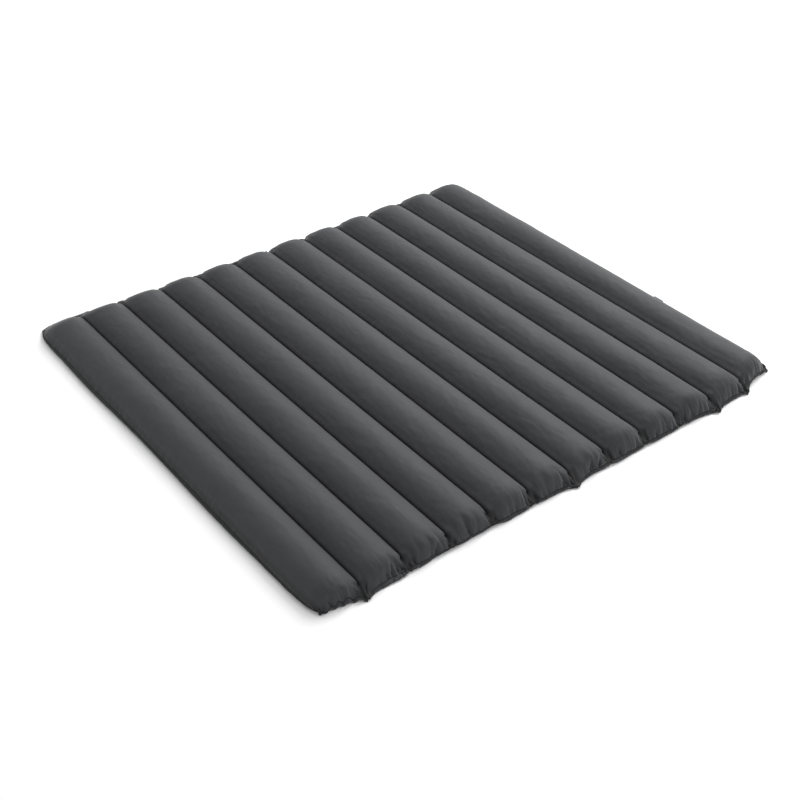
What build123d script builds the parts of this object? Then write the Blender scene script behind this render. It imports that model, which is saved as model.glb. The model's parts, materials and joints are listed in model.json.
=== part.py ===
from build123d import *

import os
from math import cos, radians, tan

# A channel-quilted futon mat. Twelve filled channels run along Y and lie side by side
# along X. The origin is under the middle of the mat, on the surface it lies on.

# Driving dimensions, in millimetres and degrees
channel_count = 12
channel_pitch = 100.0  # from one sewn seam to the next
mat_length = 1120.0  # along the channels, between the two end seams
channel_height = 48.0  # from the floor to a channel's crest
seam_height = 15.0  # all the seams lie in one plane, this far above the floor
shoulder_angle = 47.0  # how steeply a channel's flanks rise from its seams
end_angle = 38.0  # how steeply a channel's ends rise from the end seams
end_rounding = 60.0  # radius where an end meets the crest
foot_rounding = 6.0  # radius where a flank meets the flat underside
seam_gap = 1.0  # from the middle of a seam to the fabric on either side of it
fabric_thickness = 1.0
filling_clearance = 0.3  # between the fabric and the filling
thread_radius = 0.6
label_width = 26.0  # along the seam that the label is sewn into
label_reach = 10.0  # from the middle of that seam to the fold of the loop
label_ply = 0.5
label_slot = 1.6  # inside height of the loop, which the edge thread passes through
label_y = -195.0  # middle of the label, along the side seam

# Worked out from them
mat_width = channel_count * channel_pitch
half_channel = channel_pitch / 2 - seam_gap
half_length = mat_length / 2 - seam_gap
foot_run = seam_height / tan(radians(shoulder_angle))
flank_apex = seam_height + half_channel * tan(radians(shoulder_angle))
crest_rounding = (flank_apex - channel_height) / (1 / cos(radians(shoulder_angle)) - 1)
end_run = (channel_height - seam_height) / tan(radians(end_angle))
seam_plane = Plane.XY.offset(seam_height)

os.makedirs("parts", exist_ok=True)


def channel_middle(number):
    """X of the middle of a channel, numbered from 1 on the -X side."""
    return -mat_width / 2 + (number - 0.5) * channel_pitch


def seam_x(number):
    """X of the seam on the +X side of a channel; seam 0 is the mat's -X edge."""
    return -mat_width / 2 + number * channel_pitch


def save(part, name):
    """Name a finished piece and write it."""
    part.label = name
    export_step(part, f"parts/{name}.step")


def pillow(inset):
    """One channel's pillow about x = 0: a crest over a flat foot, drawn in by inset on every side."""
    with BuildPart() as body:
        with BuildSketch(Plane.XZ):
            with BuildLine():
                Polyline(
                    (-half_channel, seam_height),
                    (-half_channel + foot_run, 0),
                    (half_channel - foot_run, 0),
                    (half_channel, seam_height),
                    (0, flank_apex),
                    close=True,
                )
            section = make_face()
            corners = section.vertices().group_by(Axis.Y)
            fillet(corners[-1], radius=crest_rounding)
            fillet(corners[0], radius=foot_rounding)
            if inset:
                offset(amount=-inset, kind=Kind.INTERSECTION, mode=Mode.REPLACE)
        extrude(amount=mat_length, both=True)
        with BuildSketch(Plane.YZ):
            with BuildLine():
                Polyline(
                    (-half_length, seam_height),
                    (-half_length + foot_run, 0),
                    (half_length - foot_run, 0),
                    (half_length, seam_height),
                    (half_length - end_run, channel_height),
                    (-half_length + end_run, channel_height),
                    close=True,
                )
            side = make_face()
            corners = side.vertices().group_by(Axis.Y)
            fillet(corners[-1], radius=end_rounding)
            fillet(corners[0], radius=foot_rounding)
            if inset:
                offset(amount=-inset, kind=Kind.INTERSECTION, mode=Mode.REPLACE)
        extrude(amount=channel_pitch, both=True, mode=Mode.INTERSECT)
    return body.part


outer_pillow = pillow(0)
inner_pillow = pillow(fabric_thickness)
filling_pillow = pillow(fabric_thickness + filling_clearance)


def make_cover_panel(number, name, side):
    """The fabric over or under one channel, from seam plane to crest or foot."""
    with BuildPart(Plane((channel_middle(number), 0, 0))) as cover_panel:
        add(outer_pillow)
        add(inner_pillow, mode=Mode.SUBTRACT)
        split(bisect_by=seam_plane, keep=side)
    save(cover_panel.part, f"{name}_{number:02d}")


def make_filling(number):
    """The fibre bar that fills one channel."""
    with BuildPart(Plane((channel_middle(number), 0, 0))) as filling:
        add(filling_pillow)
    save(filling.part, f"filling_{number:02d}")


def make_quilting_thread(number):
    """The sewn-through seam between a channel and the next one, which the two fold about."""
    with BuildPart() as quilting_thread:
        with BuildSketch(Plane.XZ):
            with Locations((seam_x(number), seam_height)):
                Circle(thread_radius)
        extrude(amount=half_length, both=True)
    save(quilting_thread.part, f"quilting_thread_{number:02d}")


def make_edge_thread(number):
    """The closing seam at both ends of one channel, and along the side of an outer one."""
    with BuildPart() as edge_thread:
        with BuildSketch(Plane.YZ.offset(channel_middle(number))):
            with Locations((-mat_length / 2, seam_height), (mat_length / 2, seam_height)):
                Circle(thread_radius)
        extrude(amount=half_channel, both=True)
        if number in (1, channel_count):
            outer_seam = seam_x(0) if number == 1 else seam_x(channel_count)
            with BuildSketch(Plane.XZ):
                with Locations((outer_seam, seam_height)):
                    Circle(thread_radius)
            extrude(amount=half_length, both=True)
    save(edge_thread.part, f"edge_thread_{number:02d}")


def make_side_label():
    """A plain folded loop of tape, sewn astride the +X edge seam."""
    slot_half = label_slot / 2
    outer_half = slot_half + label_ply
    edge = seam_x(channel_count)
    start = edge - seam_gap / 2
    fold = edge + label_reach - outer_half
    with BuildPart() as side_label:
        with BuildSketch(Plane.XZ.offset(-label_y)):
            with BuildLine():
                Line((start, seam_height + slot_half), (start, seam_height + outer_half))
                Line((start, seam_height + outer_half), (fold, seam_height + outer_half))
                ThreePointArc(
                    (fold, seam_height + outer_half),
                    (fold + outer_half, seam_height),
                    (fold, seam_height - outer_half),
                )
                Line((fold, seam_height - outer_half), (start, seam_height - outer_half))
                Line((start, seam_height - outer_half), (start, seam_height - slot_half))
                Line((start, seam_height - slot_half), (fold, seam_height - slot_half))
                ThreePointArc(
                    (fold, seam_height - slot_half),
                    (fold + slot_half, seam_height),
                    (fold, seam_height + slot_half),
                )
                Line((fold, seam_height + slot_half), (start, seam_height + slot_half))
            make_face()
        extrude(amount=label_width / 2, both=True)
    save(side_label.part, "side_label")


for channel in range(1, channel_count + 1):
    make_cover_panel(channel, "top_panel", Keep.TOP)
    make_cover_panel(channel, "bottom_panel", Keep.BOTTOM)
    make_filling(channel)
    make_edge_thread(channel)
for seam in range(1, channel_count):
    make_quilting_thread(seam)
make_side_label()
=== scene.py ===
import json
from math import cos, pi, radians, sin

import bpy
import numpy as np
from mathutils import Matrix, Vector

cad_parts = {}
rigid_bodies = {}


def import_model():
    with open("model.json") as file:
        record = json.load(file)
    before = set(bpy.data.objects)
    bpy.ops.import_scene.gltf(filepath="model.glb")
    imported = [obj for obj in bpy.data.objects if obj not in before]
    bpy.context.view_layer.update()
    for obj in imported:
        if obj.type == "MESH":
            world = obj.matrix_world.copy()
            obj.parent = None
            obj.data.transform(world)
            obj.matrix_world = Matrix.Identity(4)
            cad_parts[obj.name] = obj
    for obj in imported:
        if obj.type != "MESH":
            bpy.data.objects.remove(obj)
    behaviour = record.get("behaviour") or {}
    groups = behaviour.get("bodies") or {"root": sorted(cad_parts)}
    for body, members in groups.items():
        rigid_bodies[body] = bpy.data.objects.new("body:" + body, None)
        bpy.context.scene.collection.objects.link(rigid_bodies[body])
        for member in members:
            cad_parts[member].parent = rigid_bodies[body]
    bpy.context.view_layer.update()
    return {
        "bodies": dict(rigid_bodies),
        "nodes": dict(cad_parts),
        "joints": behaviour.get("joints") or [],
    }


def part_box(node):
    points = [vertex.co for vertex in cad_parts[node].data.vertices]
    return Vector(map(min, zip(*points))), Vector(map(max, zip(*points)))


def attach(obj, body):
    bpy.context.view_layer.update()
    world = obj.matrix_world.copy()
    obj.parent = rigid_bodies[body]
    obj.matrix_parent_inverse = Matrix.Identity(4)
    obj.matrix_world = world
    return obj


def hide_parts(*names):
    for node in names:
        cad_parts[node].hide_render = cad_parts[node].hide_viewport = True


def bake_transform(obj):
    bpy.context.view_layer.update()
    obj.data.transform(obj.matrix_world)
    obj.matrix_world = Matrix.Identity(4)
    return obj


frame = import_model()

# Sizes of the frame, in metres. The channels lie side by side along X, with a seam between each two.
bodies = sorted(frame["bodies"])
joints = sorted(frame["joints"], key=lambda joint: joint["pos_m"][0])
channels = len(bodies)
thread_low, thread_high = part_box("edge_thread_01")
thread_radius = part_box("quilting_thread_01")[1].x - joints[0]["pos_m"][0]
seam_height = joints[0]["pos_m"][2]
left_edge = thread_low.x + thread_radius
right_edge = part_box(f"edge_thread_{channels:02d}")[1].x - thread_radius
half_length = thread_high.y - thread_radius
pitch = (right_edge - left_edge) / channels
seam_x = left_edge + pitch * np.arange(channels + 1)
crest_x = left_edge + pitch * (np.arange(channels) + 0.5)

# The two sheets of the cover as they are cut: wider than the mat, as the filling draws them in.
flat_width = 0.130  # of cloth between one seam and the next
flat_length = 2 * half_length + 0.014
cloth_thickness = 0.0008
sewn_thickness = 0.0001  # the sheets are pressed thin where they are sewn together
columns = 40  # of cloth squares across a channel
first_row = 0.002  # depth of the squares at the hem, where the cloth gathers
hem_rows = 0.006
middle_rows = 0.011
gather_zone = 0.10  # how far the finer squares reach from a hem

# Where the cover stands before the cloth simulation, and what the simulation does to it.
end_taper = 0.08  # how far in from a hem a channel has its full height
hem_waves = 5  # puckers in the hem of one channel
hem_wave_height = 0.005
hem_droop = 0.003  # how far the hem starts below the seams
seams_standing_out = (1, 6, 10, 11)  # their ends stay out at the front hem as tabs
rear_seams_standing_out = (3, 8)
deepest_tuck = 0.013  # how far the gathers of a seam draw its end in
tuck_reach = 0.12  # how far from a hem a seam is drawn in
pucker_reach = 0.03  # how far from a hem its puckers reach
seam_reach = 0.25  # share of a channel, on either side, that goes with the end of its seam
sim_frames = 24
free_seam_end = 0.045  # length of a seam's end that is free to move
free_corner = 0.02
pressure = 7.0
pressure_zone = 0.08  # the filling is loose this close to a hem
weight = 0.02  # of the cloth, against the pressure
bending = 0.08  # stiffness of the cloth

# How the filled channels settle afterwards.
crest_height = 0.048
lumps = 0.0008  # unevenness of the filling along the crests
front_press = 0.5  # share of the length at the front hem that the ends are pressed together by
rear_press = 0.3
end_press_zone = 0.12
front_height = 0.0075  # of the hems above the floor
rear_height = 0.016
rear_slope = 0.72  # of the ends of the channels at the rear hem
rear_rounding = 0.010
side_height = 0.009
sag = 0.85  # share of the way down that a hem sinks
ramp_run = 0.4  # the rear ramp comes in over this length
hem_sag_zone = 0.035
arch = 0.009  # how far the outer channels' front hems stand clear of the floor
lip_reach = 0.007  # how far the lower sheet stands out under the hem
lip_width = 0.006
plain_corner = 0.035  # the lip dies away this close to a corner
lip_turn = 0.016  # the lower sheet is down on the floor this far in
bow = 0.02  # how far the rear hem runs out towards the -X side
bow_seams = 5
drawn_corner = 0.028  # how far the front corner on the +X side is drawn in
drawn_seams = 1.6
rounded_corner = 0.014  # how far the front corner on the -X side is pushed in
rounded_corner_share = 0.7  # of that, along Y
rounded_corner_width = 0.6
rear_left_pull = (0.010, -0.012)  # of the rear corner on the -X side, in X and Y
rear_left_zone = (0.22, 0.03)  # share of a channel, and length, that the pull takes in
rear_right_pull = (-0.006, -0.012)
rear_right_zone = (0.3, 0.04)

# The pleats that gather the cloth into the front and rear hems.
pleats = 6  # most to a channel
pleat_depth = 0.015
rear_pleat_depth = 0.005
pleat_width = 0.003
pleat_length = 0.07

# The seams and the rim.
seam_gap = 0.0016  # between a flank and the middle of the seam
pinch = 0.014  # neighbouring channels close up this far above their seam
tab = 0.009  # how far the ends of some seams stick out
tab_width = 0.13  # share of a channel
tab_length = 0.02
sunk = 0.004  # how deep the stitches draw the seams into the top sheet
calm_zone = 0.05  # size of the corner that is ironed out
calm_passes = 60
floor_gap = 0.0008  # least height of the lower sheet
groove = 0.004  # how deep the stitches sink into the rim

rng = np.random.default_rng(11)


# ---------------------------------------------------------------- small tools


def smoothstep(t):
    t = np.clip(t, 0, 1)
    return t * t * (3 - 2 * t)


def wander(count, scale, amplitude):
    """A wandering line of count numbers, with a new turn about every scale of them."""
    knots = rng.normal(0, amplitude, int(count / scale) + 3)
    at = np.arange(count) / scale
    low = at.astype(int)
    t = smoothstep(at - low)
    return knots[low] * (1 - t) + knots[low + 1] * t


def new_piece(name, points, faces, material=None):
    """A smooth mesh object."""
    mesh = bpy.data.meshes.new(name)
    mesh.from_pydata(np.asarray(points).tolist(), [], np.asarray(faces).tolist())
    mesh.shade_smooth()
    piece = bpy.data.objects.new(name, mesh)
    bpy.context.scene.collection.objects.link(piece)
    if material:
        mesh.materials.append(material)
    return piece


def grid_faces(index):
    """The squares between the points of a grid of point numbers."""
    corners = [index[:-1, :-1], index[:-1, 1:], index[1:, 1:], index[1:, :-1]]
    return np.stack(corners, -1).reshape(-1, 4)


def grid_normals(points):
    """The unit normal at each point of a grid of points, from the grid's own slopes."""
    across = np.gradient(points, axis=1)
    along = np.gradient(points, axis=0)
    normals = np.cross(across, along)
    return normals / np.linalg.norm(normals, axis=-1, keepdims=True)


# ---------------------------------------------------------------- the cover


def arc_angle(ratio):
    """Half the angle of an arc that is ratio times as long as its chord."""
    angle = 1.0
    for _ in range(40):
        slope = (sin(angle) - angle * cos(angle)) / sin(angle) ** 2
        angle -= (angle / sin(angle) - ratio) / slope
    return angle


class Cover:
    """A grid of two sheets that share their points along every seam and round the rim."""

    def __init__(self):
        from_hem = [0.0]
        while from_hem[-1] < half_length:
            fine = min(first_row + from_hem[-1] / 4, hem_rows)
            from_hem.append(from_hem[-1] + (fine if from_hem[-1] < gather_zone else middle_rows))
        self.half_rows = np.array(from_hem) * half_length / from_hem[-1]
        self.from_hem = np.concatenate([self.half_rows, self.half_rows[-2::-1]])
        self.rows = np.concatenate([self.half_rows, 2 * half_length - self.half_rows[-2::-1]]) - half_length
        self.at = np.arange(channels * columns + 1) / columns
        self.is_seam = np.arange(len(self.at)) % columns == 0
        shape = (len(self.rows), len(self.at))
        self.shared = np.zeros(shape, bool)
        self.shared[:, self.is_seam] = True
        self.shared[[0, -1]] = True
        self.top = np.arange(shape[0] * shape[1]).reshape(shape)
        self.bottom = self.top.copy()
        self.bottom[~self.shared] = self.top.size + np.arange((~self.shared).sum())

    def faces(self):
        return np.concatenate([grid_faces(self.top), grid_faces(self.bottom)[:, ::-1]])

    def joined(self, top, bottom):
        """One list of points from a grid for each sheet."""
        return np.concatenate([top.reshape(-1, 3), bottom[~self.shared]])

    def cut(self):
        """The points of the cloth as cut, flat and unstretched."""
        x, y = np.meshgrid(self.at * flat_width, self.rows * flat_length / (2 * half_length))
        sheet = np.stack([x, y, np.zeros_like(x)], -1)
        return self.joined(sheet, sheet)

    def half(self, standing_out):
        """The sheets from one hem to the middle: arcs over the channels, tapering to a wavy hem at y = 0."""
        angle = arc_angle(flat_width / pitch)
        radius = pitch / 2 / sin(angle)
        turn = angle * (2 * (self.at % 1) - 1)
        arc_x = left_edge + pitch * (np.floor(self.at) + 0.5) + radius * np.sin(turn)
        arc_x[self.is_seam] = seam_x
        arc_z = radius * (np.cos(turn) - cos(angle))
        deep = self.half_rows[:, None]
        rise = 1 - (1 - np.clip(deep / end_taper, 0, 1)) ** 2
        z = arc_z * rise
        run = np.diff(deep, axis=0)
        run = np.sqrt(np.maximum(run**2 - np.diff(z, axis=0) ** 2, (0.3 * run) ** 2))
        y = np.concatenate([np.zeros((1, len(self.at))), np.cumsum(run, axis=0)])
        y += half_length - y[-1]
        x = arc_x * np.sqrt(rise) + (left_edge + pitch * self.at) * (1 - np.sqrt(rise))
        phase = np.cumsum(rng.uniform(0.5, 1.5, len(self.at))) / columns * hem_waves * 2 * pi
        wave = np.sin(phase) * (1 + wander(len(self.at), 20, 0.5)) * hem_wave_height * ~self.is_seam
        lift = np.zeros_like(z)
        for seam in range(channels + 1):
            beside = np.exp(-(((self.at - seam) / seam_reach) ** 2))
            stands_out = seam in standing_out or seam in (0, channels)
            tuck = rng.uniform(0.0, 0.2) if stands_out else rng.uniform(0.5, 1.0)
            y += deepest_tuck * tuck * np.exp(-deep / tuck_reach) * beside
            raised = -0.007 if stands_out else rng.uniform(-0.004, 0.008)
            lift += raised * np.exp(-((deep / pucker_reach) ** 2)) * beside
        lift += (wave - hem_droop) * np.exp(-((deep / pucker_reach) ** 2))
        top = np.stack([x, y, seam_height + z + lift], -1)
        bottom = np.stack([x, y, seam_height - np.minimum(z, seam_height - 0.001) + lift], -1)
        return top, bottom

    def start(self):
        """The points before the simulation."""
        front = self.half(seams_standing_out)
        rear = self.half(rear_seams_standing_out)
        sheets = []
        for near, far in zip(front, rear):
            near[..., 1] -= half_length
            far[..., 1] = half_length - far[..., 1]
            sheets.append(np.concatenate([near, far[-2::-1]]))
        for seam in np.flatnonzero(self.is_seam):
            drift = wander(len(self.rows), 12, 0.0012)
            for sheet in sheets:
                sheet[:, seam, 0] += drift
        top, bottom = sheets
        rough = rng.normal(0, 0.0004, (2, *top.shape))
        rough[:, :, self.is_seam] = 0
        points = self.joined(top + rough[0], bottom + rough[1])
        points[:, 2] = np.maximum(points[:, 2], 0.0012)
        return points


def add_group(cloth, name, weights, cover):
    """A vertex group of the same weight all along each row."""
    group = cloth.vertex_groups.new(name=name)
    for row, share in enumerate(weights):
        both = np.union1d(cover.top[row], cover.bottom[row])
        group.add(both.tolist(), float(share), "REPLACE")
    return name


def simulate(cover, points):
    """Fills the sewn sheets on a floor, with the seams held, and returns where the points settle."""
    cloth = new_piece("cloth", points, cover.faces())
    cloth.shape_key_add(name="Basis")
    cut = cloth.shape_key_add(name="cut")
    cut.data.foreach_set("co", cover.cut().astype(np.float32).ravel())
    cut.value = 0
    held = np.outer(cover.from_hem > free_seam_end, cover.is_seam)
    held[cover.from_hem > free_corner, 0] = True
    held[cover.from_hem > free_corner, -1] = True
    pins = cloth.vertex_groups.new(name="held")
    pins.add(cover.top[held].tolist(), 1.0, "REPLACE")
    ground = new_piece("ground", [(-2, -2, 0), (2, -2, 0), (2, 2, 0), (-2, 2, 0)], [(0, 1, 2, 3)])
    ground.modifiers.new("Collision", "COLLISION")
    ground.collision.thickness_outer = 0.001
    ground.collision.cloth_friction = 1
    modifier = cloth.modifiers.new("Cloth", "CLOTH")
    settings = modifier.settings
    settings.quality = 3
    settings.mass = 0.001
    settings.tension_stiffness = 15
    settings.compression_stiffness = 15
    settings.shear_stiffness = 5
    settings.bending_stiffness = bending
    settings.vertex_group_mass = pins.name
    settings.rest_shape_key = cut
    settings.use_pressure = True
    settings.uniform_pressure_force = pressure
    full = 0.1 + 0.9 * np.clip(cover.from_hem / pressure_zone, 0, 1)
    settings.vertex_group_pressure = add_group(cloth, "full", full, cover)
    settings.effector_weights.gravity = weight
    modifier.collision_settings.distance_min = 0.001
    modifier.point_cache.frame_end = sim_frames + 1
    scene = bpy.context.scene
    scene.frame_end = sim_frames + 1
    for step in range(1, sim_frames + 1):
        scene.frame_set(step)
    evaluated = cloth.evaluated_get(bpy.context.evaluated_depsgraph_get())
    settled = np.empty(len(points) * 3, np.float32)
    evaluated.data.vertices.foreach_get("co", settled)
    scene.frame_set(1)
    bpy.data.objects.remove(cloth)
    bpy.data.objects.remove(ground)
    return settled.reshape(-1, 3).astype(float)


def finish_cover(cover, points):
    """The settled sheets as two grids of points, tidied where they meet."""
    top = points[cover.top]
    bottom = points[cover.bottom]
    inner = slice(1, -1)
    for sheet in (top, bottom):
        smooth = sheet.copy()
        smooth[inner, inner] = (
            2 * sheet[inner, inner]
            + sheet[:-2, inner] + sheet[2:, inner] + sheet[inner, :-2] + sheet[inner, 2:]
        ) / 6
        sheet[~cover.shared] = smooth[~cover.shared]
    # Neighbouring channels press flat against each other under their seam.
    for channel in range(channels):
        inside = slice(channel * columns + 1, (channel + 1) * columns)
        low = seam_x[channel] + 0.0004 if channel else -1
        high = seam_x[channel + 1] - 0.0004 if channel < channels - 1 else 1
        for sheet in (top, bottom):
            deep = cover.from_hem > free_seam_end
            block = sheet[deep, inside, 0]
            sheet[deep, inside, 0] = np.clip(block, low, high)
    rise = np.maximum(top[..., 2] - seam_height, 0)
    crests = np.flatnonzero(np.arange(len(cover.at)) % columns == columns // 2)
    full_rise = np.median(rise[cover.from_hem > end_taper][:, crests])
    uneven = np.zeros(top.shape[:2])
    for channel in range(channels):
        across = slice(channel * columns, (channel + 1) * columns + 1)
        swell = wander(len(cover.rows), 9, lumps)
        uneven[:, across] = swell[:, None] * np.sin(pi * (cover.at[across] - channel))
    top[..., 2] += rise * ((crest_height - seam_height + uneven) / full_rise - 1)
    close_seams(cover, top)
    held_down = np.outer(cover.from_hem > free_seam_end, cover.is_seam)
    held_down[:, [0, -1]] = False
    for sheet in (top, bottom):
        sheet[held_down, 2] -= sunk
    bottom[..., 2] -= bottom[..., 2].min()
    hem_lines = top[0].copy(), top[-1].copy()
    for sheet in (top, bottom):
        press_ends(cover, sheet, hem_lines)
        calm_corner(cover, sheet)
    normals = grid_normals(top)
    front = slice(None, len(cover.half_rows))
    rear = slice(None, -len(cover.half_rows) - 1, -1)
    gather(cover, top[front], bottom[front], normals[front], pleat_depth)
    gather(cover, top[rear], bottom[rear], normals[rear], rear_pleat_depth)
    turn_lip(cover, bottom)
    sink_rim(top, bottom)
    bottom[..., 2] = np.maximum(bottom[..., 2], floor_gap)
    apart = np.where(cover.shared, 0, 2 * cloth_thickness)
    top[..., 2] = np.maximum(top[..., 2], bottom[..., 2] + apart)
    return top, bottom


def close_seams(cover, top):
    """Stands the foot of each flank up against the next channel's, so that the seam lies in a crease."""
    nearest = np.clip(np.round((top[..., 0] - left_edge) / pitch), 1, channels - 1).astype(int)
    away = top[..., 0] - seam_x[nearest]
    rise = np.clip((top[..., 2] - seam_height) / pinch, 0, 1)
    low = (np.abs(away) < pitch / 4) & ~cover.shared & (cover.from_hem > free_seam_end)[:, None]
    closed = away * rise**3 + np.sign(away) * seam_gap * (1 - rise)
    top[..., 0] -= np.where(low, away - closed, 0)


def press_ends(cover, sheet, hem_lines):
    """Pushes the ends of the channels in to blunt ones, and lets the hems down near the floor."""
    y = sheet[..., 1]
    inward = half_length - np.abs(y)
    press = np.where(y < 0, front_press, rear_press)
    inward *= 1 - press * np.exp(-((inward / end_press_zone) ** 2))
    to_rear = np.clip(y / half_length, 0, 1)
    to_front = np.clip(-y / half_length, 0, 1)
    lean = bow * smoothstep(1 - cover.at / bow_seams) * to_rear
    lean = lean + drawn_corner * smoothstep((cover.at - channels) / drawn_seams + 1) * to_front**3
    corner = rounded_corner * np.exp(-((cover.at / rounded_corner_width) ** 2)) * to_front**12
    shift = corner
    for from_corner, pull, zone in (
        (cover.at, rear_left_pull, rear_left_zone),
        (channels - cover.at, rear_right_pull, rear_right_zone),
    ):
        near = np.exp(-((from_corner / zone[0]) ** 2)) * np.exp(-((inward / zone[1]) ** 2)) * (y > 0)
        shift = shift + pull[0] * near
        lean = lean + pull[1] * near
    for seam in seams_standing_out:
        beside = np.exp(-(((cover.at - seam) / tab_width) ** 2))
        lean = lean - tab * beside * np.exp(-inward / tab_length) * (y < 0)
    sheet[..., 1] = np.sign(y) * (half_length - inward) + lean + rounded_corner_share * corner
    sheet[..., 0] += shift
    first = np.sin(pi * np.clip(cover.at, 0, 1))
    last = np.sin(pi * np.clip(cover.at - channels + 1, 0, 1))
    outer = np.maximum(first, last)
    halves = slice(None, len(cover.half_rows)), slice(len(cover.half_rows), None)
    for line, rows, height in zip(hem_lines, halves, (front_height + arch * outer, rear_height)):
        drop = np.maximum(line[:, 2] - height, 0) * sag
        near = np.exp(-((cover.from_hem[rows] / hem_sag_zone) ** 2))[:, None]
        sheet[rows, :, 2] -= drop * near
    ramp = rear_height + rear_slope * np.maximum(half_length - sheet[..., 1], 0)
    over = sheet[..., 2] - ramp
    cut = (over + np.sqrt(over**2 + rear_rounding**2)) / 2
    sheet[..., 2] -= cut * smoothstep(sheet[..., 1] / ramp_run)
    beside = np.exp(-((np.minimum(cover.at, channels - cover.at) * pitch / hem_sag_zone) ** 2))
    from_floor = np.maximum(sheet[..., 2] - side_height, 0)
    sheet[..., 2] -= np.minimum(from_floor, (seam_height - side_height) * beside)


def calm_corner(cover, sheet):
    """Irons out the corner at the rear on the -X side, where the simulation crumples the cloth."""
    from_rear = half_length - cover.rows[:, None]
    near = np.exp(-((from_rear / calm_zone) ** 2)) * np.exp(-((cover.at * pitch / calm_zone) ** 2))
    near = (near * (cover.at < 0.95))[..., None]
    for _ in range(calm_passes):
        average = sheet.copy()
        average[1:-1, 1:-1] = (sheet[:-2, 1:-1] + sheet[2:, 1:-1] + sheet[1:-1, :-2] + sheet[1:-1, 2:]) / 4
        average[-1, 1:-1] = (sheet[-1, :-2] + sheet[-1, 2:]) / 2
        average[1:-1, 0] = (sheet[:-2, 0] + sheet[2:, 0]) / 2
        sheet += near * (average - sheet)


def gather(cover, top, bottom, normals, full_depth):
    """Presses pleats into both sheets, from the hem of the first row inwards."""
    deep = cover.half_rows[: len(top), None]
    press = np.zeros(top.shape[:2])
    for channel in range(channels):
        count = rng.integers(pleats - 2, pleats + 1)
        places = (np.arange(count) + 0.5 + rng.uniform(-0.32, 0.32, count)) / count
        places = np.concatenate([[0.07], 0.1 + 0.8 * places, [0.93]])
        for place in places:
            beside_seam = place in (places[0], places[-1])
            strength = rng.uniform(0.6, 1) if beside_seam else rng.uniform(0.3, 1) ** 2
            length = pleat_length * rng.uniform(0.35, 1)
            lean = (0.5 - place) * rng.uniform(-2, 6) + rng.normal(0, 1.5)
            middle = channel + place + lean * deep
            away = np.abs(cover.at[None] - middle) * pitch
            width = pleat_width * (0.7 + deep / length)
            fade = smoothstep(deep / 0.01 + 0.25) * np.clip(1 - deep / length, 0, 1) ** 1.3
            press += full_depth * strength * np.exp(-away / width) * fade
    top -= normals * press[..., None]
    bottom[..., 2] += 0.5 * press


def turn_lip(cover, bottom):
    """Lets the lower sheet stand out under the hem, here more and there less, before it turns in."""
    from_side = np.minimum(cover.at, channels - cover.at) * pitch
    clear = 1 - np.exp(-(from_side[None] ** 2 + cover.from_hem[:, None] ** 2) / plain_corner**2)
    for depth, across, axis in ((cover.from_hem[:, None], 1, 1), (from_side[None], 0, 0)):
        near = np.exp(-(((depth - lip_width) / lip_width) ** 2))
        uneven = np.clip(0.6 + wander(bottom.shape[across], 22, 0.35), 0, 1.2)
        uneven = uneven[None] if across else uneven[:, None]
        outward = np.sign(bottom[..., axis])
        bottom[..., axis] += outward * lip_reach * near * uneven * clear * ~cover.shared
        down = np.clip(1 - depth / lip_turn, 0, 1) ** 1.5
        bottom[..., 2] *= np.where(depth < lip_turn, down, 1) if across else 1


def sink_rim(top, bottom):
    """Draws the rim in between the cloth just over and just under it, where the stitches hold it."""
    for rim, over, under, inward in (
        ((0, slice(None)), top[1], bottom[1], (0, 1, 0)),
        ((-1, slice(None)), top[-2], bottom[-2], (0, -1, 0)),
        ((slice(None), 0), top[:, 1], bottom[:, 1], (1, 0, 0)),
        ((slice(None), -1), top[:, -2], bottom[:, -2], (-1, 0, 0)),
    ):
        drawn = (over + under) / 2 + groove * np.array(inward)
        top[rim] = drawn
        bottom[rim] = drawn


# ---------------------------------------------------------------- materials


def material(name, colour, roughness, sheen=0.0):
    """A new material, its node tree and its shader."""
    made = bpy.data.materials.new(name)
    made.use_nodes = True
    tree = made.node_tree
    shader = tree.nodes["Principled BSDF"]
    shader.inputs["Base Color"].default_value = (*colour, 1)
    shader.inputs["Roughness"].default_value = roughness
    shader.inputs["Sheen Weight"].default_value = sheen
    return made, tree, shader


def node(tree, kind, inputs=None, **settings):
    """A node with its settings and inputs; an input that is a socket is linked."""
    made = tree.nodes.new("ShaderNode" + kind)
    for key, value in settings.items():
        setattr(made, key, value)
    for key, value in (inputs or {}).items():
        if isinstance(value, bpy.types.NodeSocket):
            tree.links.new(value, made.inputs[key])
        else:
            made.inputs[key].default_value = value
    return made


def shades(tree, factor, dark, light):
    """A colour that runs from dark to light with a factor."""
    ramp = node(tree, "ValToRGB", {"Fac": factor})
    ramp.color_ramp.elements[0].color = (*dark, 1)
    ramp.color_ramp.elements[1].color = (*light, 1)
    ramp.color_ramp.elements[0].position = 0.3
    ramp.color_ramp.elements[1].position = 0.7
    return ramp.outputs["Color"]


def combine(tree, operation, first, second=0):
    """The outcome of a Math node; the operations on one number leave the second unused."""
    return node(tree, "Math", {0: first, 1: second}, operation=operation).outputs[0]


def to_seam(tree, place):
    """How far across its channel the cloth is, from 0 at the crest to 0.5 at the seams."""
    parts = node(tree, "SeparateXYZ", {"Vector": place})
    within = combine(tree, "FRACT", combine(tree, "DIVIDE", parts.outputs["X"], flat_width))
    return combine(tree, "ABSOLUTE", combine(tree, "SUBTRACT", within, 0.5))


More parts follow.
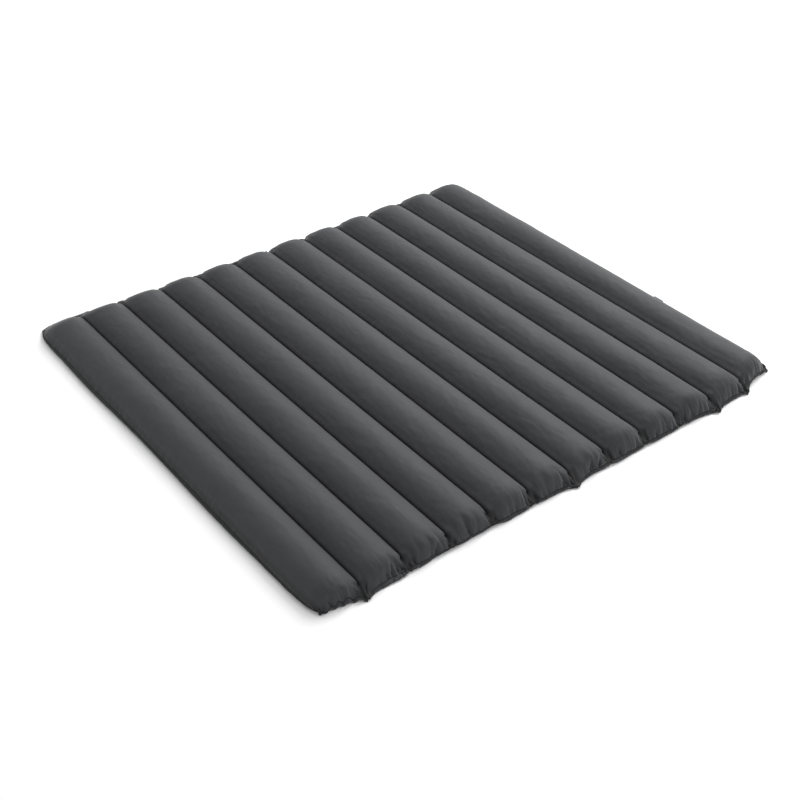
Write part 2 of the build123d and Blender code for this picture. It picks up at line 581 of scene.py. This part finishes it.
def creases(tree, place):
    """The height of the small folds: across the seams, into the hems, and a soft unevenness all over."""
    parts = node(tree, "SeparateXYZ", {"Vector": place})
    across = to_seam(tree, place)
    to_hem = combine(tree, "ABSOLUTE", parts.outputs["Y"])
    total = None
    for scale, share, at, start, end in (
        ((22, 60, 1), 0.55, across, 0.25, 0.5),
        ((90, 14, 1), 0.9, to_hem, half_length - 0.07, half_length),
        ((26, 14, 1), 0.45, across, -1, 0),
    ):
        stretched = node(tree, "Mapping", {"Vector": place, "Scale": scale}).outputs[0]
        noise = node(
            tree,
            "TexNoise",
            {"Vector": stretched, "Scale": 1.0, "Detail": 1.5, "Roughness": 0.5, "Distortion": 0.7},
        )
        mask = node(tree, "MapRange", {"Value": at, "From Min": start, "From Max": end}).outputs[0]
        folds = combine(tree, "MULTIPLY", combine(tree, "MULTIPLY", noise.outputs["Fac"], mask), share)
        total = combine(tree, "ADD", total, folds) if total else folds
    return total


def cloth_material(name, colour):
    """Brushed plain-weave cotton: mottled, with a fine weave that follows the cloth as cut."""
    made, tree, shader = material(name, colour, 0.7, sheen=0.2)
    shader.inputs["Sheen Roughness"].default_value = 0.4
    place = node(tree, "UVMap", uv_map="cloth").outputs["UV"]
    mottle = node(tree, "TexNoise", {"Vector": place, "Scale": 14.0, "Detail": 5.0, "Roughness": 0.62})
    slubs = node(
        tree,
        "TexNoise",
        {
            "Vector": node(tree, "Mapping", {"Vector": place, "Scale": (900, 60, 1)}).outputs[0],
            "Scale": 1.0,
            "Detail": 2.0,
        },
    )
    mix = combine(tree, "ADD", mottle.outputs["Fac"], slubs.outputs["Fac"])
    half = combine(tree, "MULTIPLY", mix, 0.5)
    dark = tuple(0.84 * c for c in colour)
    light = tuple(1.16 * c for c in colour)
    # A darker colour next to the seams stands in for the light that a closed crease keeps out.
    crease = {"Value": to_seam(tree, place), "From Min": 0.35, "From Max": 0.42, "To Min": 1.0, "To Max": 0.4}
    shaded = node(
        tree,
        "VectorMath",
        {0: shades(tree, half, dark, light), 1: node(tree, "MapRange", crease).outputs[0]},
        operation="MULTIPLY",
    )
    tree.links.new(shaded.outputs[0], shader.inputs["Base Color"])
    worn = node(
        tree, "MapRange", {"Value": mottle.outputs["Fac"], "To Min": 0.62, "To Max": 0.8}
    )
    tree.links.new(worn.outputs["Result"], shader.inputs["Roughness"])
    yarns = []
    for direction in "XY":
        yarns.append(
            node(
                tree,
                "TexWave",
                {"Vector": place, "Scale": 260.0, "Distortion": 0.6, "Detail": 1.0},
                bands_direction=direction,
            ).outputs["Fac"]
        )
    weave = combine(tree, "MULTIPLY", yarns[0], yarns[1])
    fuzz = node(tree, "TexNoise", {"Vector": place, "Scale": 420.0, "Detail": 2.0})
    relief = node(tree, "Bump", {"Height": weave, "Strength": 0.25, "Distance": 0.0001})
    fuzzy = node(
        tree,
        "Bump",
        {
            "Height": fuzz.outputs["Fac"],
            "Strength": 0.3,
            "Distance": 0.0004,
            "Normal": relief.outputs["Normal"],
        },
    )
    creased = node(
        tree,
        "Bump",
        {"Height": creases(tree, place), "Distance": 0.005, "Normal": fuzzy.outputs["Normal"]},
    )
    tree.links.new(creased.outputs["Normal"], shader.inputs["Normal"])
    return made


def thread_material():
    """Twisted polyester sewing thread."""
    made, tree, shader = material("thread", (0.01, 0.01, 0.011), 0.6, sheen=0.1)
    place = node(tree, "TexCoord").outputs["Object"]
    twist = node(
        tree, "TexWave", {"Vector": place, "Scale": 500.0, "Distortion": 1.0}, bands_direction="DIAGONAL"
    )
    relief = node(tree, "Bump", {"Height": twist.outputs["Fac"], "Strength": 0.5, "Distance": 0.0001})
    tree.links.new(relief.outputs["Normal"], shader.inputs["Normal"])
    colour = shades(tree, twist.outputs["Fac"], (0.007, 0.007, 0.008), (0.014, 0.014, 0.015))
    tree.links.new(colour, shader.inputs["Base Color"])
    return made


def filling_material():
    """Off-white carded wadding."""
    made, tree, shader = material("wadding", (0.82, 0.81, 0.78), 0.95, sheen=0.5)
    place = node(tree, "TexCoord").outputs["Object"]
    stretched = node(tree, "Mapping", {"Vector": place, "Scale": (160, 40, 160)}).outputs[0]
    fibres = node(
        tree,
        "TexNoise",
        {"Vector": stretched, "Scale": 1.0, "Detail": 6.0, "Roughness": 0.7, "Distortion": 1.5},
    )
    colour = shades(tree, fibres.outputs["Fac"], (0.74, 0.73, 0.69), (0.87, 0.86, 0.84))
    tree.links.new(colour, shader.inputs["Base Color"])
    relief = node(tree, "Bump", {"Height": fibres.outputs["Fac"], "Strength": 0.8, "Distance": 0.003})
    tree.links.new(relief.outputs["Normal"], shader.inputs["Normal"])
    return made


def label_material():
    """Plain black ribbed tape."""
    made, tree, shader = material("label_tape", (0.02, 0.02, 0.022), 0.55, sheen=0.2)
    place = node(tree, "TexCoord").outputs["Object"]
    ribs = node(tree, "TexWave", {"Vector": place, "Scale": 320.0}, bands_direction="Y")
    relief = node(tree, "Bump", {"Height": ribs.outputs["Fac"], "Strength": 0.6, "Distance": 0.0002})
    tree.links.new(relief.outputs["Normal"], shader.inputs["Normal"])
    colour = shades(tree, ribs.outputs["Fac"], (0.014, 0.014, 0.016), (0.028, 0.028, 0.03))
    tree.links.new(colour, shader.inputs["Base Color"])
    return made


# ---------------------------------------------------------------- pieces


def bend_with(piece, number):
    """Makes a piece follow the one channel beside an outer edge; a piece over an inner seam only has its
    place baked into its points.
    """
    if number == 0:
        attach(piece, bodies[0])
    elif number == channels:
        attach(piece, bodies[-1])
    else:
        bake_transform(piece)


def beside(number):
    """Two-digit names of the channels on the two sides of a seam."""
    return [f"{channel:02d}" for channel in (number, number + 1) if 1 <= channel <= channels]


def strip_columns(number):
    """The grid columns from crest to crest over a seam, or from the rim to the first crest."""
    first = max(0, number * columns - columns // 2)
    last = min(channels * columns, number * columns + columns // 2)
    return slice(first, last + 1)


def make_strip(name, cover, sheet, number, facing, material):
    """The cloth from crest to crest over one seam, with its thickness; facing is 1 for the top sheet."""
    part = strip_columns(number)
    normals = grid_normals(sheet)[:, part] * facing
    outer = sheet[:, part]
    thickness = np.where(cover.shared[:, part], sewn_thickness, cloth_thickness)
    inner = outer - normals * thickness[..., None]
    index = np.arange(outer[..., 0].size).reshape(outer.shape[:2])
    below = index + index.size
    faces = [grid_faces(index), grid_faces(below)[:, ::-1]]
    for edge, under in (
        (index[0], below[0]),
        (index[:, -1], below[:, -1]),
        (index[-1, ::-1], below[-1, ::-1]),
        (index[::-1, 0], below[::-1, 0]),
    ):
        faces.append(grid_faces(np.stack([under, edge])))
    faces = np.concatenate(faces)
    if facing < 0:
        faces = faces[:, ::-1]
    points = np.concatenate([outer.reshape(-1, 3), inner.reshape(-1, 3)])
    piece = new_piece(name, points, faces, material)
    uv = piece.data.uv_layers.new(name="cloth")
    u, v = np.meshgrid(cover.at[part] * flat_width, cover.rows)
    flat = np.stack([u, v], -1).reshape(-1, 2)
    corners = np.empty(len(piece.data.loops), np.int32)
    piece.data.loops.foreach_get("vertex_index", corners)
    uv.data.foreach_set("uv", flat[corners % index.size].astype(np.float32).ravel())
    both = np.concatenate([normals.reshape(-1, 3), -normals.reshape(-1, 3)])
    piece.data.normals_split_custom_set_from_vertices(both.tolist())
    return piece


def resample(line, step):
    """Evenly spaced points along a line of points."""
    lengths = np.concatenate([[0], np.cumsum(np.linalg.norm(np.diff(line, axis=0), axis=1))])
    count = max(2, int(round(lengths[-1] / step)) + 1)
    at = np.linspace(0, lengths[-1], count)
    return np.stack([np.interp(at, lengths, line[:, axis]) for axis in range(3)], 1)


def stitches(lines, radius):
    """Points and faces of a row of stitches along each line."""
    step = 0.0045  # from one stitch to the next
    gap = 0.12  # share of a step between two stitches
    sides = 6
    turn = np.arange(sides) * 2 * pi / sides
    along = np.array([gap / 2, gap, 1 - gap, 1 - gap / 2])
    size = np.array([0.45, 1, 1, 0.45]) * radius
    points = []
    faces = []
    tube = np.arange(4 * sides).reshape(4, sides)
    tube = np.concatenate([tube, tube[:, :1]], 1)
    one = grid_faces(tube)[:, ::-1]
    caps = []
    for ring in (np.arange(sides), np.arange(4 * sides - 1, 3 * sides - 1, -1)):
        caps += [[ring[0], ring[1], ring[2], ring[3]], [ring[0], ring[3], ring[4], ring[5]]]
    one = np.concatenate([one, np.array(caps)])
    for line in lines:
        ends = resample(line, step)
        heads = ends[:-1]
        tails = ends[1:]
        ahead = (tails - heads) / np.linalg.norm(tails - heads, axis=1, keepdims=True)
        side = np.cross(ahead, (0, 0, 1))
        side /= np.linalg.norm(side, axis=1, keepdims=True)
        up = np.cross(side, ahead)
        middle = heads[:, None] + (tails - heads)[:, None] * along[:, None]
        ring = side[:, None] * np.cos(turn)[:, None] + up[:, None] * np.sin(turn)[:, None]
        tubes = middle[:, :, None] + ring[:, None] * size[:, None, None]
        start = sum(len(block) for block in points)
        points.append(tubes.reshape(-1, 3))
        shift = start + 4 * sides * np.arange(len(heads))
        faces.append((one[None] + shift[:, None, None]).reshape(-1, 4))
    return np.concatenate(points), np.concatenate(faces)


def wadding_bar(number):
    """The rings of points of a soft, slightly uneven bar well inside its channel, each from its bottom."""
    around = 28
    along = 90
    half_wide = 0.030
    half_high = 0.0165
    middle = seam_height + 0.0075
    reach = half_length - 0.05
    turn = np.arange(around + 1) * 2 * pi / around - pi / 2
    y = np.linspace(-1, 1, along)
    y = np.sign(y) * (1 - (1 - np.abs(y)) ** 1.6)
    taper = np.clip(1 - np.abs(y) ** 14, 0.02, 1) ** 0.5
    lumps = rng.normal(0, 0.02, (along, around))
    lumps = (lumps + np.roll(lumps, 1, 0) + np.roll(lumps, 1, 1) + np.roll(lumps, -1, 1)) / 2
    lumps = np.concatenate([lumps, lumps[:, :1]], 1)
    swell = taper[:, None] * (1 + lumps)
    x = crest_x[number - 1] + half_wide * np.sign(np.cos(turn)) * np.abs(np.cos(turn)) ** 0.9 * swell
    z = middle + half_high * np.sign(np.sin(turn)) * np.abs(np.sin(turn)) ** 0.9 * swell
    return np.stack([x, np.broadcast_to((y * reach)[:, None], x.shape), z], -1)


def make_filling_half(name, rings, material):
    """Half of a bar, closed along the upright plane through its crest."""
    index = np.arange(rings[..., 0].size).reshape(rings.shape[:2])
    closed = np.concatenate([index, index[:, :1]], 1)
    faces = grid_faces(closed).tolist()
    faces += [index[0].tolist(), index[-1, ::-1].tolist()]
    mesh = bpy.data.meshes.new(name)
    mesh.from_pydata(rings.reshape(-1, 3).tolist(), [], faces)
    mesh.shade_smooth()
    mesh.materials.append(material)
    piece = bpy.data.objects.new(name, mesh)
    bpy.context.scene.collection.objects.link(piece)
    return piece


# ---------------------------------------------------------------- camera, floor and light


def aim(thing, location, target):
    thing.location = location
    thing.rotation_mode = "QUATERNION"
    thing.rotation_quaternion = (Vector(target) - Vector(location)).to_track_quat("-Z", "Y")


def make_camera():
    camera = bpy.data.objects.new("camera", bpy.data.cameras.new("camera"))
    bpy.context.scene.collection.objects.link(camera)
    bpy.context.scene.camera = camera
    azimuth, elevation, distance = radians(-37.2), radians(36.3), 2.707
    target = Vector((-0.108, -0.142, 0.010))
    back = Vector((sin(azimuth) * cos(elevation), -cos(azimuth) * cos(elevation), sin(elevation)))
    aim(camera, target + back * distance, target)
    camera.data.sensor_width = 36
    camera.data.lens = 58.3


def make_lamp(name, location, size, power):
    light = bpy.data.lights.new(name, "AREA")
    light.size = size
    light.energy = power
    lamp = bpy.data.objects.new(name, light)
    aim(lamp, location, (0, 0, 0))
    bpy.context.scene.collection.objects.link(lamp)


def make_studio():
    floor = new_piece("floor", [(-6, -6, 0), (6, -6, 0), (6, 6, 0), (-6, 6, 0)], [(0, 1, 2, 3)])
    paper, _, _ = material("paper", (0.98, 0.98, 0.98), 0.9)
    floor.data.materials.append(paper)
    world = bpy.data.worlds.new("studio")
    world.use_nodes = True
    sky = world.node_tree.nodes["Background"].inputs
    sky["Color"].default_value = (1, 1, 1, 1)
    sky["Strength"].default_value = 0.75
    bpy.context.scene.world = world
    make_lamp("key", (2.2, 0.9, 2.3), 1.6, 92)
    make_lamp("fill", (0.8, -2.4, 1.6), 2.0, 5)
    bpy.context.scene.view_settings.view_transform = "Standard"


make_camera()
make_studio()

top_cloth = cloth_material("charcoal_cloth", (0.0242, 0.0253, 0.0288))
bottom_cloth = cloth_material("charcoal_lining", (0.0228, 0.0238, 0.0268))
thread = thread_material()
wadding = filling_material()

cover = Cover()
points = cover.start()
points = simulate(cover, points)
top, bottom = finish_cover(cover, points)

for number in range(channels + 1):
    strip = make_strip(f"top_cover_{number:02d}", cover, top, number, 1, top_cloth)
    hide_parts(*[f"top_panel_{name}" for name in beside(number)])
    bend_with(strip, number)
    strip = make_strip(f"bottom_cover_{number:02d}", cover, bottom, number, -1, bottom_cloth)
    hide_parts(*[f"bottom_panel_{name}" for name in beside(number)])
    bend_with(strip, number)

    part = strip_columns(number)
    rims = [top[0, part], top[-1, part]]
    if number == 0:
        rims.append(top[:, 0])
    if number == channels:
        rims.append(top[:, -1])
    hem = new_piece(f"hem_stitches_{number:02d}", *stitches(rims, thread_radius), thread)
    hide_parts(*[f"edge_thread_{name}" for name in beside(number)])
    bend_with(hem, number)

for number in range(1, channels):
    line = top[:, number * columns]
    seam = new_piece(f"quilting_stitches_{number:02d}", *stitches([line], thread_radius), thread)
    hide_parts(f"quilting_thread_{number:02d}")
    bend_with(seam, number)

for number in range(1, channels + 1):
    rings = wadding_bar(number)
    top_point = rings.shape[1] // 2
    for side, arc, seam in (
        ("right", rings[:, : top_point + 1], number),
        ("left", rings[:, top_point:], number - 1),
    ):
        half = make_filling_half(f"wadding_{number:02d}_{side}", arc, wadding)
        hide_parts(f"filling_{number:02d}")
        bend_with(half, seam)

label_tape = label_material()
for label_slot in frame["nodes"]["side_label"].material_slots:
    label_slot.material = label_tape
